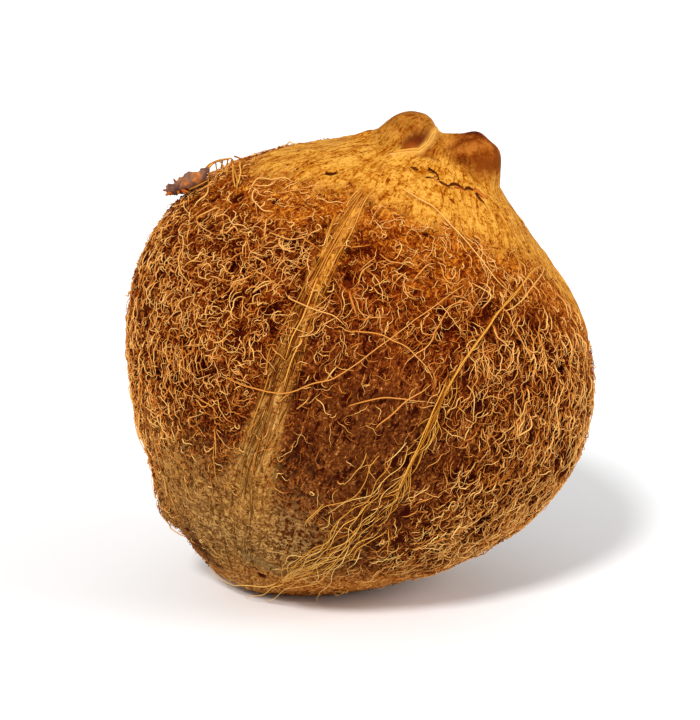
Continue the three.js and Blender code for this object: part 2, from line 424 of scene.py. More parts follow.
def cube_sphere(cells):
    """Directions, four-cornered faces and UVs of a sphere made of six square grids, two rows of three."""
    line = np.tan(np.linspace(-math.pi / 4, math.pi / 4, cells + 1))
    u, v = np.meshgrid(line, line, indexing="ij")
    one = np.ones_like(u)
    sides = [(one, u, v), (-one, v, u), (v, one, u), (u, -one, v), (u, v, one), (v, u, -one)]
    index = np.arange((cells + 1) ** 2).reshape(cells + 1, cells + 1)
    corners = np.stack([index[:-1, :-1], index[1:, :-1], index[1:, 1:], index[:-1, 1:]], -1).reshape(-1, 4)
    grid = np.stack(np.meshgrid(*[np.linspace(0.01, 0.99, cells + 1)] * 2, indexing="ij"), -1).reshape(-1, 2)
    ways = unit(np.concatenate([np.stack(side, -1).reshape(-1, 3) for side in sides]))
    faces = np.concatenate([corners + number * len(grid) for number in range(6)])
    shifts = [np.array([number % 3, number // 3]) for number in range(6)]
    uvs = np.concatenate([(grid + shift) / np.array([3, 2]) for shift in shifts])[faces]
    merged, owner = np.unique(np.round(ways, 6), axis=0, return_inverse=True)
    return unit(merged), owner.reshape(-1)[faces], uvs


# ---- Materials ----


def colour(code):
    """A display colour, written as 0xRRGGBB, as the linear colour that shaders take."""
    parts = [(code >> shift & 255) / 255 for shift in (16, 8, 0)]
    return (*[c / 12.92 if c <= 0.04045 else ((c + 0.055) / 1.055) ** 2.4 for c in parts], 1)


class Nodes:
    """A short way to write a material's nodes."""

    def __init__(self, name):
        self.material = bpy.data.materials.new(name)
        self.material.use_nodes = True
        self.tree = self.material.node_tree

    def fill(self, node, inputs):
        """Give a node's inputs their values, and link those that are another node's output."""
        for key, value in dict(inputs).items():
            if isinstance(value, bpy.types.NodeSocket):
                self.tree.links.new(value, node.inputs[key])
            else:
                node.inputs[key].default_value = value

    def add(self, kind, inputs=(), **settings):
        node = self.tree.nodes.new(kind)
        for key, value in settings.items():
            setattr(node, key, value)
        self.fill(node, inputs)
        return node

    def finish(self, tint, roughness, specular, bump=None):
        """The material, with its colour, its gloss and where it has one, a bump of fine height."""
        inputs = {"Base Color": tint, "Roughness": roughness, "Specular IOR Level": specular}
        if bump:
            height, strength = bump
            settings = {"Height": height, "Strength": strength, "Distance": BUMP_DEPTH * MM}
            inputs["Normal"] = self.add("ShaderNodeBump", settings).outputs["Normal"]
        self.fill(self.tree.nodes["Principled BSDF"], inputs)
        return self.material

    def places(self):
        return self.add("ShaderNodeTexCoord").outputs["Object"]

    def attribute(self, name, output="Fac"):
        return self.add("ShaderNodeAttribute", attribute_name=name).outputs[output]

    def math(self, operation, *values):
        return self.add("ShaderNodeMath", dict(enumerate(values)), operation=operation).outputs[0]

    def total(self, base, *shares):
        """A base value plus shares, each (value, weight)."""
        for value, weight in shares:
            base = self.math("MULTIPLY_ADD", value, weight, base)
        return base

    def texture(self, vector, scale, detail, roughness, distortion=0.0, seed=0.0):
        inputs = {"Vector": vector, "W": seed, "Scale": scale, "Detail": detail, "Roughness": roughness}
        inputs["Distortion"] = distortion
        return self.add("ShaderNodeTexNoise", inputs, noise_dimensions="4D").outputs["Fac"]

    def fade(self, value, start, end, first=0.0, last=1.0):
        """A smooth step from first to last as the value goes from start to end."""
        inputs = {0: value, 1: start, 2: end, 3: first, 4: last}
        return self.add("ShaderNodeMapRange", inputs, interpolation_type="SMOOTHSTEP").outputs[0]

    def threads(self, vector, scale, width, seed):
        """Thin curly lines, 1 in the middle of a line and 0 between them, broken here and there."""
        bends = self.texture(vector, scale, 1, 0.5, 0.4, seed)
        line = self.fade(self.math("ABSOLUTE", self.math("SUBTRACT", bends, 0.5)), 0.0, width, 1.0, 0.0)
        gaps = self.texture(vector, scale * 0.8, 1, 0.5, 0, seed + 5)
        return self.math("MULTIPLY", line, self.fade(gaps, 0.36, 0.52))

    def two_threads(self, vector, bold, faint):
        """Two layers of threads, each (scale, width, seed)."""
        second = self.math("MULTIPLY", self.threads(vector, *faint), 0.8)
        return self.math("MAXIMUM", self.threads(vector, *bold), second)

    def ramp(self, value, stops):
        node = self.add("ShaderNodeValToRGB", {"Fac": value})
        elements = node.color_ramp.elements
        while len(elements) < len(stops):
            elements.new(0.5)
        for element, (position, code) in zip(elements, stops.items()):
            element.position = position
            element.color = colour(code)
        return node.outputs["Color"]

    def mix(self, share, first, second):
        return self.add("ShaderNodeMix", {0: share, 6: first, 7: second}, data_type="RGBA").outputs[2]


BUMP_DEPTH = 0.4

# The vectors that noise in the skin follows: how far each is stretched, and the reach of the rays.
GRAINS = {"grain": (10,), "comb": (2.5,), "pore": (1.7,), "ray": (3.5, 0.55)}
# Noise in the skin: the coordinates that it lies in, its scale, detail, roughness, distortion and seed,
# and where it is given, from which value to which it fades in.
SKIN_NOISE = {
    "fine": ("places", 1500, 3, 0.7, 0, 0),
    "coarse": ("places", 260, 2, 0.5, 0, 0),
    "streaks": ("grain", 0.9, 3, 0.65, 0, 0),
    "ribs": ("grain", 1.7, 2, 0.6, 0, 3),
    "specks": ("comb", 0.95, 2, 0.6, 0, 11, 0.54, 0.64),
    "glints": ("comb", 1.7, 1, 0.5, 0, 13, 0.58, 0.68),
    "pores": ("pore", 1.2, 1.5, 0.6, 0.4, 7, 0.41, 0.55),
    "flecks": ("comb", 1.1, 2, 0.6, 0, 9, 0.53, 0.63),
    "blotches": ("comb", 0.24, 2, 0.6, 0, 15, 0.36, 0.6),
    "rays": ("ray", 1.15, 3, 0.6, 0, 17, 0.36, 0.6),
}
# What gives a place its shade: a starting value, and the weight of each pattern.
SKIN_SHADES = {
    # In the matted mix, height makes the mat's low places darker: painted shade.
    "matted": (-0.5, {"fine": 1.3, "lines": 0.55, "coarse": 0.4, "height": 0.28, "spots": 1, "dark": 0.02}),
    "porous": (-0.42, {"fine": 1.2, "pores": 0.65}),
    "streaky": (-1.42, {"fine": 1, "streaks": 1.3, "ribs": 1.9, "near bare": 0.4}),
    "smooth": (-0.46, {"coarse": 0.7, "rays": 0.34, "blotches": 0.16, "fine": 1.25, "flecks": -0.38,
                       "scores": -0.45}),
    "patchy": (-1.4, {"fine": 1.3, "coarse": 2.6}),
}
# The colours of the mat, and of the zones that lie over it in this order, each with its kind of shade.
MAT_TINTS = {0: 0x220200, 0.28: 0x561900, 0.5: 0x8e4813, 0.75: 0xbe7731, 1: 0xe8ac68}
ZONE_TINTS = {
    "dark": ("matted", {0: 0x2e0800, 0.28: 0x56280a, 0.5: 0x7c4418, 0.75: 0xb0743e, 1: 0xd8a670}),
    "red": ("matted", {0: 0x3e0600, 0.3: 0x823004, 0.58: 0xb86014, 1: 0xeca248}),
    "rim": ("matted", {0: 0x601800, 0.3: 0xa04c06, 0.6: 0xce8022, 1: 0xeeac4c}),
    "khaki": ("porous", {0: 0x280a00, 0.3: 0x5c2e08, 0.6: 0x94662e, 1: 0xcaa060}),
    "seam": ("streaky", {0: 0x3a0800, 0.3: 0x703004, 0.6: 0xa26016, 1: 0xd69638}),
    "under": ("streaky", {0: 0x461200, 0.4: 0x7c3c06, 0.7: 0xa2601c, 1: 0xd69a50}),
    "bare": ("smooth", {0: 0x682200, 0.3: 0x924602, 0.6: 0xb46d13, 1: 0xd99d3e}),
    "knob": ("patchy", {0: 0x400c00, 0.35: 0x662800, 0.65: 0x823e08, 1: 0xa66020}),
}


def skin_patterns(nodes):
    """The values, by name, that the skin's colour and bump are mixed from."""
    masks = (*ZONE_TINTS, *MARKS, "felt", "olive", "combed", "height")
    pattern = {name: nodes.attribute(name) for name in masks}
    pattern.update({name: nodes.attribute(name, "Vector") for name in GRAINS})
    pattern["places"] = nodes.places()
    for name, (where, scale, detail, roughness, distortion, seed, *fading) in SKIN_NOISE.items():
        value = nodes.texture(pattern[where], scale, detail, roughness, distortion, seed)
        pattern[name] = nodes.fade(value, *fading) if fading else value
    curly = nodes.two_threads(pattern["places"], (430, 0.045, 1), (700, 0.07, 2))
    wavy = nodes.two_threads(pattern["comb"], (0.5, 0.05, 3), (0.8, 0.08, 4))
    lines = nodes.add("ShaderNodeMix", {0: pattern["combed"], 2: curly, 3: wavy}).outputs[0]
    pattern["lines"] = nodes.math("MULTIPLY", lines, nodes.total(1, (pattern["dark"], -0.7)))
    spots = nodes.total(0, (pattern["specks"], -0.5), (pattern["glints"], 0.3))
    pattern["spots"] = nodes.math("MULTIPLY", spots, nodes.total(0.4, (pattern["dark"], 0.6)))
    pattern["near bare"] = nodes.math("MULTIPLY", pattern["rim"], pattern["rim"])
    pattern["scores"] = nodes.threads(pattern["ray"], 0.42, 0.028, 6)
    pattern["crack"] = nodes.fade(nodes.total(pattern["crack"], (pattern["fine"], 0.9)), 0.75, 1.05)
    for name, (base, weights) in SKIN_SHADES.items():
        pattern[name] = nodes.total(base, *[(pattern[part], weight) for part, weight in weights.items()])
    return pattern


def skin_material():
    nodes = Nodes("coir_skin")
    pattern = skin_patterns(nodes)
    tint = nodes.ramp(pattern["matted"], MAT_TINTS)
    for zone, (shade, stops) in ZONE_TINTS.items():
        tint = nodes.mix(pattern[zone], tint, nodes.ramp(pattern[shade], stops))
    dull = nodes.math("MULTIPLY", nodes.math("MULTIPLY", pattern["seam"], pattern["olive"]), 0.75)
    tint = nodes.mix(dull, tint, nodes.ramp(pattern["streaky"], ZONE_TINTS["khaki"][1]))
    # The marks' colours go over the skin: those of shade, hollow and fold are painted shade, and the crack
    # mask also darkens the pits as painted shade.
    for mark, (code, *_) in MARKS.items():
        tint = nodes.mix(pattern[mark], tint, colour(code))
    felted = nodes.math("MULTIPLY", pattern["lines"], pattern["felt"])
    holes = nodes.math("MULTIPLY", pattern["pores"], pattern["khaki"])
    bumps = nodes.total(felted, (holes, 0.8), (pattern["fine"], 0.8), (pattern["ribs"], 0.6))
    return nodes.finish(tint, nodes.total(0.6, (pattern["fine"], 0.3)), 0.03, (bumps, 0.9))


FIBRE_TINTS = {
    "coir_fibre": {0: 0x2a0200, 0.25: 0x722301, 0.5: 0xb8641c, 0.75: 0xdc9140, 1: 0xf3ba68},
    "coir_gold": {0: 0x501600, 0.3: 0x904a08, 0.55: 0xc47e24, 0.8: 0xe6a848, 1: 0xf6ca74},
    "coir_seam": {0: 0x501200, 0.3: 0x823c06, 0.6: 0xb06818, 1: 0xeaa84a},
    "husk_chip": {0: 0x5c1c06, 0.5: 0xa84c0c, 1: 0xe2923c},
    "husk_crack": {0: 0x380e00, 1: 0x964006},
}
KHAKI_FIBRE_TINTS = {0: 0x3e1a02, 0.25: 0x6c4012, 0.5: 0x986a2e, 0.75: 0xbe904c, 1: 0xdeb46e}


def fibre_material(name):
    """A fibre's colour follows its tone, and it is a little lighter towards its tip."""
    nodes = Nodes(name)
    shade = nodes.total(-0.1, (nodes.attribute("along"), 0.2), (nodes.attribute("tone"), 1))
    ramps = (nodes.ramp(shade, stops) for stops in (FIBRE_TINTS[name], KHAKI_FIBRE_TINTS))
    return nodes.finish(nodes.mix(nodes.attribute("khaki"), *ramps), 0.6, 0.05)


# ---- The nut ----

SKIN_CELLS = 126


def make_nut():
    ways, faces, uvs = cube_sphere(SKIN_CELLS)
    zone = zones(ways)
    mark = marks(ways)
    relief = skin_relief(ways, zone, mark)
    points = place(ways, form_radius(ways) + relief)
    attributes = {**zone, **mark, "combed": patch(ways, "combed"), "height": relief}
    attributes.update({name: grain_points(ways, *settings) for name, settings in GRAINS.items()})
    nut = make_piece("nut", points, faces, skin_material(), uvs.reshape(-1, 2), attributes)
    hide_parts(NODE)
    return nut


# ---- Fibres ----

FIBRE_SIDES = 3


def fibre_mesh(centres, widths, outward):
    """Points and triangles of closed thin fibres with pointed ends, one along each row of centres."""
    count, steps = centres.shape[:2]
    run = unit(np.gradient(centres, axis=1))
    across = unit(np.cross(run, outward))
    up = np.cross(across, run)
    turns = 2 * math.pi * np.arange(FIBRE_SIDES) / FIBRE_SIDES + math.pi / 2
    ring = np.cos(turns)[:, None] * across[..., None, :] + np.sin(turns)[:, None] * up[..., None, :]
    rings = (centres[..., None, :] + ring * widths[..., None, None] / 2)[:, 1:-1]
    points = np.concatenate([centres[:, :1], rings.reshape(count, -1, 3), centres[:, -1:]], axis=1)
    corner = 1 + np.arange((steps - 2) * FIBRE_SIDES).reshape(steps - 2, FIBRE_SIDES)
    after = np.roll(corner, -1, axis=1)
    root, tip = np.zeros(FIBRE_SIDES, int), np.full(FIBRE_SIDES, points.shape[1] - 1)
    sides = [
        np.stack([corner[:-1], corner[1:], after[1:]], -1),
        np.stack([corner[:-1], after[1:], after[:-1]], -1),
    ]
    ends = [np.stack([root, corner[0], after[0]], -1), np.stack([tip, after[-1], corner[-1]], -1)]
    one = np.concatenate([part.reshape(-1, 3) for part in sides + ends])
    faces = one + (np.arange(count) * points.shape[1])[:, None, None]
    return points.reshape(-1, 3), faces.reshape(-1, 3)


def per_point(values, steps):
    """Values for each ring, repeated for the points of fibres with the given number of steps."""
    middle = np.repeat(values[:, 1:-1], FIBRE_SIDES, axis=1)
    return np.concatenate([values[:, :1], middle, values[:, -1:]], axis=1).ravel()


def fibre_piece(name, centres, widths, outward, tones, material, khaki=None):
    """One piece of many fibres. In its UV map u is the fibre's tone and v is how far along it is.

    tones has a number for each fibre, or for each ring of each fibre. khaki has a number for each fibre.
    """
    count, steps = centres.shape[:2]
    points, faces = fibre_mesh(centres, widths, outward)
    points[:, 2] = np.maximum(points[:, 2], 0)
    tone = per_point(np.broadcast_to(tones.reshape(count, -1), (count, steps)), steps)
    along = per_point(np.tile(np.linspace(0, 1, steps), (count, 1)), steps)
    side = np.tile(np.concatenate([[1], np.tile(np.arange(FIBRE_SIDES), steps - 2), [1]]), count)
    uvs = np.stack([0.01 + 0.97 * tone + 0.003 * side, 0.01 + 0.98 * along], -1)
    attributes = {"tone": tone, "along": along}
    if khaki is not None:
        attributes["khaki"] = per_point(np.broadcast_to(khaki[:, None], (count, steps)), steps)
    return make_piece(name, points, faces, material, uvs[faces].reshape(-1, 2), attributes)


def meridian(ways):
    """The way along the skin that leads from the stem end to the far end, and the way across it."""
    away = unit(ways * (ways @ STEM)[..., None] - STEM)
    return away, np.cross(ways, away)


def skin_base(ways):
    """The distance from the centre that fibres lie at: the form, with the larger clumps of the mat."""
    return form_radius(ways) + swellings(ways, BULGES) + 0.35 * noise(ways * MEAN_RADIUS, 6, 11)


def cover(ways):
    """How thickly short coir covers each place, 0 to 1."""
    return zones(ways)["felt"] * (1 - 0.95 * pitted(ways)) * (1 - 0.8 * hollows(ways))


def growth(ways, where, least):
    """How thickly coir grows, 0 to 1: as it covers the nut in one patch, and less elsewhere."""
    return cover(ways) * (least + (1 - least) * patch(ways, where))


def scatter(rng, count, density, *where):
    """Directions spread at random over the nut, as thickly as density says."""
    ways = unit(rng.normal(size=(count * 8, 3)))
    return ways[rng.random(len(ways)) < density(ways, *where)][:count]


ROOT_DEPTH = 0.9
WAVE_LENGTH = (3.0, 6.5)


def grow(rng, ways, steps, lengths, headings, bend, curl, wave, lifts):
    """Fibre centrelines that start at the directions and wander over the skin.

    headings are radians off the meridian, bend is the turn along a whole fibre, curl is the random turn at
    each step, and wave is how far a fibre swings to and fro. A fibre's root is sunk in the skin, and it
    stands off it by lifts in the middle.
    """
    count = len(ways)
    turns = rng.normal(0, curl, (count, steps)) + rng.normal(0, bend, (count, 1)) / steps
    stride = (lengths / (steps - 1))[:, None]
    start = rng.random((count, 1))
    phase = 2 * math.pi * (start + stride * np.arange(steps) / rng.uniform(*WAVE_LENGTH, (count, 1)))
    heading = headings[:, None] + np.cumsum(turns, axis=1) + wave * np.sin(phase)
    down = np.cumsum(np.cos(heading) * stride, axis=1) - np.cos(heading[:, :1]) * stride
    aside = np.cumsum(np.sin(heading) * stride, axis=1) - np.sin(heading[:, :1]) * stride
    away, across = meridian(ways)
    moved = down[..., None] * away[:, None] + aside[..., None] * across[:, None]
    places = ways[:, None] * MEAN_RADIUS + moved
    outward = unit(places)
    part = np.linspace(0, 1, steps)
    tips = rng.uniform(0.0, 0.9, (count, 1))
    profile = np.sin(math.pi * np.minimum(part * 1.25, 0.5)) * (1 - part**3 * (1 - tips))
    waves = 0.35 * lifts[:, None] * rng.normal(size=(count, steps)) * np.sin(math.pi * part)
    rise = profile * (lifts[:, None] + ROOT_DEPTH) - ROOT_DEPTH + waves
    return place(outward, skin_base(outward) + rise), outward, rise


def tapered(widths, steps, tip=0.5):
    part = np.linspace(0, 1, steps)
    return widths[:, None] * (1 - (1 - tip) * part**2)


# How much a fibre's tone rises for each mm that it stands off the skin, within a limit in mm: painted shade
# that darkens fibres lying low in the mat.
LIFT_SHADE = 0.5
LIFT_LIMIT = 0.6
# How many fibres are pale, and by how much.
PALE_SHARE = 0.05
PALE_SHIFT = 0.2
# Where fibres are lighter or darker: zones, and soft spots with a centre, a width in degrees and a power. The
# spots lighten the fibres where more light falls: painted light.
ZONE_SHIFTS = {"rim": 0.16, "khaki": 0.12, "dark": -0.06}
LIT_SPOT_SHIFTS = [(0.14, front(55, 0), 18, 3), (0.12, front(-28, 32), 26, 3), (0.07, front(22, -36), 24, 3)]


def fibre_tones(rng, ways, low, high):
    """A tone for each fibre."""
    zone = zones(ways)
    shift = sum(share * zone[name] for name, share in ZONE_SHIFTS.items())
    # Painted light: the spots lighten fibres where more light falls.
    shift += sum(share * spot(ways, *where) for share, *where in LIT_SPOT_SHIFTS)
    pale = rng.random(len(ways)) < PALE_SHARE
    return rng.uniform(low, high, len(ways)) + shift + PALE_SHIFT * pale


def make_mat(name, seed, material, density, count, steps, length, width, lift, tone, spread, bend, curl,
             wave=0.0):
    """A piece of the coir mat. length, width, lift and tone are each (least, most)."""
    rng = np.random.default_rng(SEED + seed)
    ways = scatter(rng, count, *density)
    count = len(ways)
    zone = zones(ways)
    headings = rng.normal(0, spread, count) * (1 - 0.5 * patch(ways, "combed"))
    fineness = 1 - 0.35 * zone["dark"]
    lengths = rng.uniform(*length, count) * fineness
    lifts = rng.uniform(*lift, count) * fineness - 0.7 * zone["khaki"]
    centres, outward, rise = grow(rng, ways, steps, lengths, headings, bend, curl, wave, lifts)
    thickness = width[0] + (width[1] - width[0]) * rng.random(count) ** 2
    widths = tapered(thickness * (0.4 + 0.6 * fineness), steps)
    # Fibres low in the mat are darkened and those standing clear lightened: painted shade.
    painted_lift_shade = LIFT_SHADE * np.clip(rise, -LIFT_LIMIT, LIFT_LIMIT)
    tones = np.clip(fibre_tones(rng, ways, *tone)[:, None] + painted_lift_shade, 0, 1)
    khaki = np.maximum(zone["khaki"], patch(ways, "khaki fibres"))
    return fibre_piece(name, centres, widths, outward, tones, material, khaki)


FELT = dict(density=(cover,), count=12500, steps=4, width=(0.2, 0.34), bend=1.6, curl=0.5)
CURLS = dict(density=(growth, "tangled", 0.1))
MATS = {
    "coir_felt_1": dict(FELT, length=(0.9, 2.4), lift=(-0.4, 0.0), tone=(0.0, 0.55), spread=1.4),
    "coir_felt_2": dict(FELT, length=(1.0, 2.8), lift=(-0.3, 0.15), tone=(0.12, 0.78), spread=1.3),
    "coir_curls_1": dict(CURLS, count=4200, steps=9, length=(2.0, 5.8), width=(0.17, 0.44),
                         lift=(-0.25, 0.35), tone=(0.35, 1.15), spread=1.3, bend=2.8, curl=0.55),
    "coir_curls_2": dict(CURLS, count=740, steps=12, length=(5, 11), width=(0.19, 0.46),
                         lift=(0.0, 0.6), tone=(0.4, 0.95), spread=1.2, bend=1.6, curl=0.3),
    "coir_roots": dict(density=(growth, "combed", 0.05), count=2900, steps=13, length=(2.5, 12),
                       width=(0.14, 0.4), lift=(-0.25, 0.35), tone=(0.42, 1.14), spread=0.42, bend=0.6,
                       curl=0.26, wave=0.42),
}
FAN = dict(density=(patch, "fanned"), count=420, steps=13, length=(4, 12), width=(0.15, 0.36),
           lift=(0.0, 0.6), tone=(0.58, 1.2), spread=0.45, bend=0.6, curl=0.18, wave=0.4)


def make_coir(material):
    for seed, (name, mat) in enumerate(MATS.items()):
        make_mat(name, seed, material, **mat)


SEAM_STRANDS = 420
SEAM_STRAND_STEPS = 12
# How far down the seams the strands start, in degrees from the stem end: the least, and the rest.
SEAM_STARTS = (28, 122)
# The lean of the front seam's strands in radians, down to its widest point.
FRONT_SEAM_LEAN = 0.12


def make_seam_strands(material):
    """Flat strands that lie close along the three seams."""
    rng = np.random.default_rng(SEED + 40)
    count, steps = SEAM_STRANDS, SEAM_STRAND_STEPS
    polar = SEAM_STARTS[0] + SEAM_STARTS[1] * rng.random(count) ** 1.4
    number = rng.integers(0, CORNERS, count)
    strays = number == 0
    turn = np.radians(FRONT_SEAM + strays * np.interp(polar, *SEAM_COURSE) + 360 / CORNERS * number)
    around = np.cos(turn)[:, None] * FRONT + np.sin(turn)[:, None] * SIDE
    ways = np.cos(np.radians(polar))[:, None] * STEM + np.sin(np.radians(polar))[:, None] * around
    aside = rng.normal(0, 1, count) * (0.4 + 1.1 * smoothstep(polar, 25, 70) + 3 * smoothstep(polar, 80, 140))
    ways = unit(ways * MEAN_RADIUS + aside[:, None] * meridian(ways)[1])
    lengths = rng.uniform(8, 30, count)
    lifts = rng.uniform(-0.5, 0.02, count)
    headings = rng.normal(0, 0.035, count) + FRONT_SEAM_LEAN * strays * (polar < 90)
    centres, outward, rise = grow(rng, ways, steps, lengths, headings, 0.08, 0.02, 0.0, lifts)
    widths = tapered(rng.uniform(0.22, 0.5, count) * (1 - 0.4 * smoothstep(polar, 80, 120)), steps)
    tones = rng.uniform(0.15, 0.72, count) + 0.36 * (1 - smoothstep(polar, 30, 65))
    return fibre_piece("seam_strands", centres, widths, outward, tones, material, 0.8 * zones(ways)["olive"])


# ---- Strands placed one by one ----

# Each route lists places on the front: how far right of the nut's centre and above it, and where a third
# number is given, how far off the skin.
BUNDLE = [(22.5, 8), (20, 3), (17.5, -2), (15, -8), (13, -12), (10, -18.5)]
BUNDLE_TOP = [(34.5, 22), (31.5, 18.5), (27.5, 14.5), (22.5, 7.5), (19, 0), (16.5, -5), (14, -10)]
BUNDLE_TIP = [(49, 28), (43, 28), (40.5, 26.5), *BUNDLE_TOP[:5]]
# Longer ribs of the front seam, each with its width in mm.
RIBS = [
    (0.65, [(7, 52.5, 0.3), (4.5, 50), (3, 48), (0.5, 45), (-1.5, 42), (-4, 38), (-6, 34.5), (-8.5, 30),
            (-10.5, 26)]),
    (1.2, [(-4, 43.5), (-5.5, 39.5), (-7, 36)]),
    (0.5, [(7.5, 52, 0.3), (5.5, 49), (3.5, 46.5), (1, 42.5), (-1.5, 38), (-4.5, 33), (-7.5, 27.5)]),
    (0.5, [(-2, 41), (-4, 37), (-6, 33.5), (-8, 28.5)]),
    (0.5, [(-11.5, 22.5), (-13.5, 19), (-15, 16)]),
    (0.6, [(-8, 31.5), (-9, 27.5), (-11, 22.5), (-13.5, 17), (-15.5, 11.5)]),
    (0.5, [(-10.5, 19), (-12.5, 15), (-14.5, 9.5), (-16, 4)]),
    (0.5, [(-17.5, 17), (-19, 12.5), (-20, 8)]),
    (0.5, [(-18, 11.5), (-20, 4.5), (-22, -1.5), (-24, -7.5)]),
    (0.4, [(-20.5, -3.5), (-21.5, -8.5), (-23, -15), (-24, -20.5)]),
    (0.4, [(-26, -9), (-27.5, -13.5)]),
    (0.45, [(-31.5, -5), (-31.5, -12.5), (-31.5, -20.5)]),
]
# Golden roots that gather in a knot low on the left, and those that cross it or run clear of it.
GATHERED = [
    [(10, -8), (8, -11.5), (4.5, -16), (0.5, -20.5), (-3, -25.5), (-5.5, -31), (-9, -36), (-13.5, -41),
     (-17, -47)],
    [(14.5, -6.5), (12.5, -11.5), (6.5, -21), (2, -26.5), (-1, -32.5), (-8, -39.5), (-13.5, -43.5),
     (-17, -47)],
    [(4.5, -24), (-3, -32), (-8, -36), (-12.5, -41), (-17, -47)],
    [(6.5, -26.5), (-1, -34.5), (-8.5, -39.5), (-14, -44), (-17, -47)],
    [(10, -18.5), (6, -25), (0, -31.5), (-6, -38.5), (-12, -43), (-17, -47)],
]
ROOTS = [
    [(6.5, -8.5), (4, -11), (3, -15), (1, -18), (-2, -20.5), (-6.5, -22), (-9.5, -25.5), (-12, -29.5)],
    [(12.5, -6), (9.5, -8.5), (6, -12)],
    [(12.5, -7), (11, -11), (8.5, -14), (4, -18.5), (-1, -20), (-4.5, -22), (-7.5, -25)],
    [(2, -26.5), (-1, -32.5), (-6, -42), (-8, -46), (-12.5, -49)],
    [(0, -31.5), (-1.5, -36), (-4.5, -43), (-5.5, -48), (-10, -55, 1.5)],
    [(2, -35.5), (1, -38.5), (-1.5, -44.5)],
    [(9, -29.5), (8.5, -32), (8.5, -36), (9, -38.5)],
    [(4, -7.5), (2.5, -11.5), (-0.5, -14), (-2, -17.5)],
    [(-12, -42), (-17, -47, 0.8), (-20, -50, 1.5), (-24, -51, 2.4)],
    [(-11, -44), (-14.5, -48, 0.8), (-17, -51, 1.6), (-20, -53, 3)],
    [(-17, -47), (-20, -48.5), (-23.5, -49), (-28.5, -49), (-31.5, -47.5), (-33.5, -45.5)],
    [(-17.5, -44.5), (-16, -40), (-14.5, -37), (-11.5, -36.5), (-9.5, -37)],
    [(-9.5, -39.5), (-8.5, -43), (-8.5, -45.5), (-10, -47.5), (-12, -48.5)],
    [(3, -32.5), (-3, -38.5), (-8.5, -46.5), (-14.5, -50), (-17.5, -51)],
    [(-6, -21.5), (-8, -23.5), (-9.5, -25.5), (-11.5, -30)],
]
SINGLES = [
    [(49, 28), (44, 26), (40, 23), (36.5, 21.5), (34, 21.5)],
    [(17.5, 17), (19, 19), (21, 22), (22.5, 24), (25.5, 24.5), (27.5, 23), (27.5, 21)],
    [(28, 28.5), (31, 26), (34, 24)],
    [(33.5, 23), (36, 20.5), (38, 16.5), (41.5, 10.5), (43, 8.5)],
    [(33, 19.5), (33.5, 16), (35.5, 14), (36, 11.5)],
    [(29.5, 15.5), (31.5, 8.5), (33.5, 6.5), (36.5, 3.5)],
    [(27, 6), (28, 3.5), (28, -0.5), (28.5, -4)],
    [(38.5, -6.5), (40, -3), (40.5, -1), (42.5, -0.5)],
    [(41.5, -2), (42, -6.5), (40, -8), (38.5, -9.5)],
    [(-14.5, 26.5), (-14, 25.5), (-10, 24), (-7, 23), (-4, 22), (-1.5, 20)],
    [(-0.5, 19.5), (2.5, 19), (6.5, 18), (8.5, 17), (13, 15), (16, 11.5), (20, 6)],
    [(-29.5, 7.5), (-25, 6.5), (-21, 6), (-16, 5.5), (-11, 7), (-6, 8.5), (-1, 11), (5, 15), (12, 20),
     (19.5, 24.5), (28.5, 29.5)],
    [(-2, 2.5), (3.5, 4), (7.5, 4.5), (12, 4), (18, 3)],
    [(4.5, -3), (7.5, 0), (11.5, 3.5), (15, 5.5), (18.5, 7.5)],
    [(1, 28.5), (1.5, 30.5), (2.5, 32), (5.5, 34)],
    [(6, 35.5), (8, 33.5), (10.5, 33), (13, 33)],
    [(13, 28.5), (16.5, 32), (19.5, 33)],
    [(19.5, 20.5), (17.5, 16.5), (14, 14), (11, 11)],
    [(-13.5, 1.5), (-10.5, 3.5), (-9.5, 5)],
    [(-6, 8.5), (-4.5, 10.5), (-3, 12)],
    [(-23, 26.5), (-20, 28.5), (-17, 29.5)],
    [(10, 49), (15, 45.5), (20, 42.5), (27.5, 35), (33.5, 28), (39.5, 23)],
    [(-25.5, 46), (-22.5, 48.5), (-19, 49), (-16, 49.5), (-13.5, 49)],
    [(-18.5, 43.5), (-20.5, 43), (-22, 44), (-23, 45), (-23, 46.5), (-22, 47)],
    [(-19.5, 39), (-17.5, 38), (-14.5, 37.5), (-12, 38), (-10, 39.5)],
    [(-39, 41.5), (-39, 40), (-38, 39)],
    [(-34.5, 45), (-34, 43.5), (-36, 41.5), (-38, 40)],
    [(-37, 38.5), (-35.5, 39.5), (-33, 41), (-31.5, 42.5)],
    [(-36.5, 37.5), (-36, 38.5), (-34.5, 37.5), (-32, 37)],
    [(-45, 32), (-44, 34), (-43.5, 35.5)],
    [(-39.5, 33.5), (-40, 31), (-40, 29), (-38.5, 27), (-37, 25.5)],
    [(-40, 29), (-37, 30.5), (-34, 31.5)],
    [(-42, 20), (-39, 22.5), (-36.5, 24.5)],
    [(-30.5, 38.5), (-29, 37.5), (-27, 39), (-26.5, 38)],
    [(-29, 41), (-28.5, 40), (-26.5, 38)],
    [(-23, 35), (-22, 34.5), (-19.5, 34.5)],
    [(-23, 26.5), (-20.5, 27.5), (-17, 29.5)],
    [(-20.5, 38), (-20, 40), (-20, 42.5)],
    [(-55, -5), (-54.5, -12.5), (-53, -18.5), (-50.5, -25.5)],
    [(-52.5, -4.5), (-52, -12.5), (-50.5, -21)],
    [(-56, -2), (-55.5, -10)],
]
CHIPS = [
    [(10, 36), (11.5, 36.5)],
    [(21.5, 32), (23.5, 33)],
    [(-0.7, 28.2), (0, 25), (1, 22)],
    [(-36, 24), (-35, 25.5)],
    [(-20.5, 20.5), (-21.5, 19)],
]
RIB_FINENESS = 0.85
SINGLE_WIDTH = (0.36, 0.46)
CHIP_WIDTH = (0.7, 1.0)


